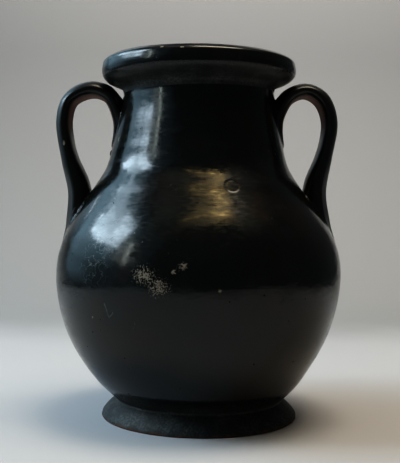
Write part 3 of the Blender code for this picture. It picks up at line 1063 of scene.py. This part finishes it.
def paper():
    """Pale paper, with painted shade that darkens it towards its far end and up the backdrop."""
    material = bpy.data.materials.new("paper")
    material.use_nodes = True
    tree = material.node_tree
    shader = tree.nodes["Principled BSDF"]
    # Painted shade: the paper's colour grows darker with depth, towards and up the backdrop.
    depth = add_node(tree, "ShaderNodeSeparateXYZ", {0: place(tree)}).outputs["Y"]
    waver = combined(tree, "MULTIPLY", grain(tree, PAPER_GRAIN, seed=8.0), PAPER_WAVER)
    far = stepped(tree, combined(tree, "ADD", depth, waver), *PAPER_SHADE_FADE)
    tree.links.new(laid(tree, PAPER, PAPER_PAINTED_SHADE, far), shader.inputs["Base Color"])
    shader.inputs["Roughness"].default_value = PAPER_ROUGHNESS
    return material


def studio():
    """A sheet of paper that runs back over the table and curves up behind."""
    line = [(FLOOR_FRONT, 0.0), (SWEEP_START, 0.0)]
    for step in range(1, SWEEP_STEPS + 1):
        angle = 0.5 * math.pi * step / SWEEP_STEPS
        line.append((SWEEP_START + SWEEP_RADIUS * math.sin(angle), SWEEP_RADIUS * (1.0 - math.cos(angle))))
    line.append((SWEEP_START + SWEEP_RADIUS, SWEEP_TOP))
    mesh = bmesh.new()
    left = [mesh.verts.new((FLOOR_LEFT if y <= SWEEP_START else BACKDROP_LEFT, y, z)) for y, z in line]
    right = [mesh.verts.new((FLOOR_RIGHT if y <= SWEEP_START else BACKDROP_RIGHT, y, z)) for y, z in line]
    for i in range(len(line) - 1):
        face = mesh.faces.new((left[i], right[i], right[i + 1], left[i + 1]))
        face.smooth = i > 0
    data = bpy.data.meshes.new("paper_sweep")
    mesh.to_mesh(data)
    mesh.free()
    made = bpy.data.objects.new("paper_sweep", data)
    bpy.context.scene.collection.objects.link(made)
    made.data.materials.append(paper())


def panel(name, azimuth, elevation, distance, width, height, colour, radiance, shape="RECTANGLE"):
    """A soft light that faces the jar. Azimuth 0 is in front of it and 90 to its right, in degrees."""
    turn = math.radians(azimuth)
    rise = math.radians(elevation)
    away = Vector((math.sin(turn) * math.cos(rise), -math.cos(turn) * math.cos(rise), math.sin(rise)))
    data = bpy.data.lights.new(name, "AREA")
    data.shape = shape
    data.size = width
    data.size_y = height
    data.color = colour
    data.spread = LIGHT_SPREAD
    # The narrower the spread, the less energy gives the same radiance.
    area = width * height * (math.pi / 4.0 if shape == "ELLIPSE" else 1.0)
    half = 0.5 * LIGHT_SPREAD
    data.energy = radiance * math.pi * area * (1.0 - half / math.tan(half))
    made = bpy.data.objects.new(name, data)
    made.location = JAR_MIDDLE + away * distance
    made.rotation_mode = "QUATERNION"
    made.rotation_quaternion = away.to_track_quat("Z", "Y")
    made.visible_camera = False
    bpy.context.scene.collection.objects.link(made)
    return made


def soft_panel(name, azimuth, elevation, distance, width, height, colour, radiance, shape="RECTANGLE"):
    """Panels one in another, of which the sum fades towards its edge."""
    share = radiance / len(SOFT_SIZES)
    made = []
    for step, size in enumerate(SOFT_SIZES):
        away = distance + step * SOFT_STEP
        made.append(panel(name, azimuth, elevation, away, width * size, height * size, colour, share, shape))
    return made


def lights():
    """A cool window on the left with its bars, a warm lamp high in front on the right, and a pale ceiling."""
    for name, edge, *values in LIGHTS:
        if edge == SHARP:
            panel(name, *values)
        else:
            soft_panel(name, *values, "ELLIPSE" if edge == SOFT_OVAL else "RECTANGLE")
    for ceiling in soft_panel("ceiling", *STRAIGHT_UP, *CEILING_PANEL):
        ceiling.location.xy = CEILING_PLACE
    overhead = panel("overhead", *STRAIGHT_UP, *OVERHEAD_PANEL)
    overhead.location.xy = OVERHEAD_PLACE
    behind = panel("backdrop_light", *STRAIGHT_UP, *BACKDROP_PANEL)
    behind.location = BACKDROP_PLACE
    behind.rotation_quaternion = BACKDROP_AWAY.to_track_quat("Z", "Y")


def world():
    """A dark room, which the camera sees as pale."""
    made = bpy.data.worlds.new("room")
    made.use_nodes = True
    tree = made.node_tree
    tree.nodes.clear()
    dark = add_node(tree, "ShaderNodeBackground", {"Color": DARK_ROOM, "Strength": 1.0})
    pale = add_node(tree, "ShaderNodeBackground", {"Color": PALE_ROOM, "Strength": 1.0})
    path = add_node(tree, "ShaderNodeLightPath")
    mix = add_node(tree, "ShaderNodeMixShader", {0: path.outputs["Is Camera Ray"]})
    tree.links.new(dark.outputs[0], mix.inputs[1])
    tree.links.new(pale.outputs[0], mix.inputs[2])
    out = add_node(tree, "ShaderNodeOutputWorld")
    tree.links.new(mix.outputs[0], out.inputs["Surface"])
    bpy.context.scene.world = made


def camera():
    """The photograph's view."""
    data = bpy.data.cameras.new("camera")
    data.sensor_width = SENSOR
    data.lens = SENSOR * CAMERA_FOCAL_PIXELS / PHOTO_HEIGHT
    data.shift_x = (0.5 * PHOTO_WIDTH - CAMERA_CENTRE_X) / PHOTO_HEIGHT
    data.shift_y = (CAMERA_CENTRE_Y - 0.5 * PHOTO_HEIGHT) / PHOTO_HEIGHT
    data.clip_start = CAMERA_NEAREST
    made = bpy.data.objects.new("camera", data)
    turn = Matrix.Rotation(0.5 * math.pi, 4, "X") @ Matrix.Rotation(CAMERA_ROLL, 4, "Z")
    made.matrix_world = Matrix.Translation(CAMERA_PLACE) @ turn
    bpy.context.scene.collection.objects.link(made)
    bpy.context.scene.camera = made


camera()
world()
lights()
studio()
jar = pelike()
jar.data.materials.clear()
jar.data.materials.append(black_gloss())
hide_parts("pelike")
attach(jar, "root")
bpy.context.scene.view_settings.view_transform = "Standard"
bpy.context.scene.view_settings.look = "High Contrast"
